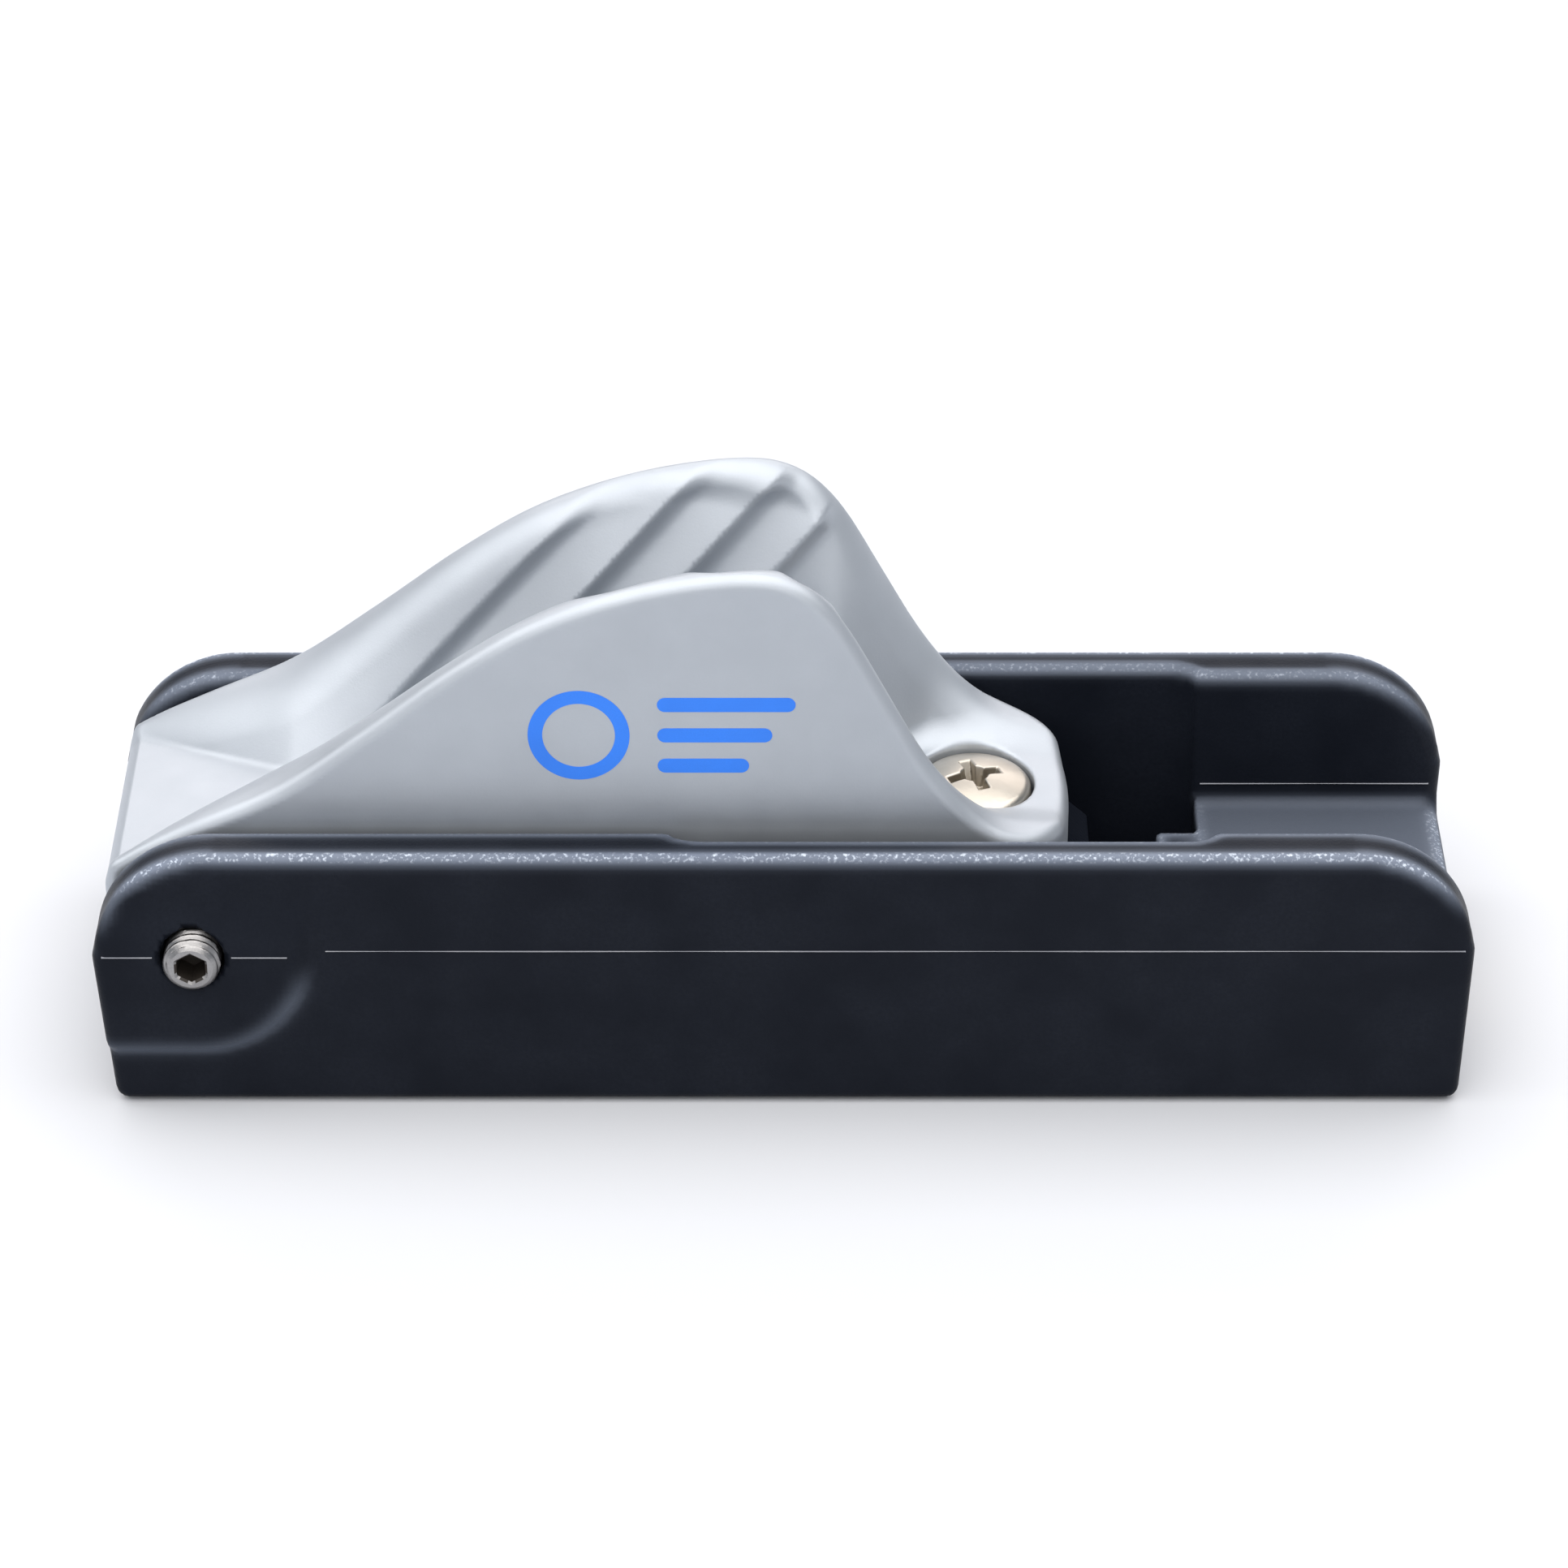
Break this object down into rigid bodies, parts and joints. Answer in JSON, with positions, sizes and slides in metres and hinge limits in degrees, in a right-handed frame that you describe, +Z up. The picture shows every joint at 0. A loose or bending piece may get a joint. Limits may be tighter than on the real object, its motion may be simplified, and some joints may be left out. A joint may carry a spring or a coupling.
{
  "type": "hinged rope cleat",
  "caption": "V-groove rope cleat hinged in a channel base, which tips up and lets the rope go when the load on it is too high.",
  "frame": {"origin": "middle of the base's flat underside", "axes": "+X along the base from the pivot end to the release block, +Z up out of the channel, pivot pin along Y"},
  "size_m": [0.096, 0.0305, 0.0396],
  "materials": {
    "nylon_black": "fine moulded grain",
    "alloy_satin": "satin anodised",
    "stainless": "satin",
    "nickel": "bright",
    "brass": "machined",
    "acetal_white": "smooth",
    "ink_blue": "printed ink"
  },
  "bodies": {
    "base": {"base_channel": "nylon_black", "pivot_screw": "stainless", "pivot_insert": "brass", "plunger_guide": "brass", "adjuster_insert": "brass"},
    "cleat": {"cleat_body": "alloy_satin", "pivot_bush_near": "acetal_white", "pivot_bush_far": "acetal_white", "catch_block": "nylon_black", "strike_plate": "stainless", "catch_screw": "nickel", "catch_nut": "stainless"},
    "plunger": {"detent_plunger": "stainless"},
    "seat": {"spring_seat": "stainless", "detent_spring": "stainless"},
    "adjuster": {"adjuster_screw": "stainless"}
  },
  "joints": [
    {"name": "cleat_pivot", "type": "hinge", "parent": "base", "child": "cleat", "pos_m": [-0.041, 0, 0.0124], "axis": [0, -1, 0], "range_deg": [0, 95]},
    {"name": "plunger_slide", "type": "slide", "parent": "base", "child": "plunger", "axis": [1, 0, 0], "range_m": [0, 0.002], "stiffness_N_per_m": 2500, "springref_m": -0.0025, "deforming": ["detent_spring"]},
    {"name": "adjuster_feed", "type": "slide", "parent": "base", "child": "seat", "axis": [-1, 0, 0], "range_m": [0, 0.002]},
    {"name": "adjuster_turn", "type": "hinge", "parent": "seat", "child": "adjuster", "pos_m": [0.044, 0, 0.0049], "axis": [-1, 0, 0], "range_deg": [0, 905]}
  ],
  "couplings": [
    {"joint": "adjuster_turn", "follows": "adjuster_feed", "rad_per_m": 7854}
  ]
}
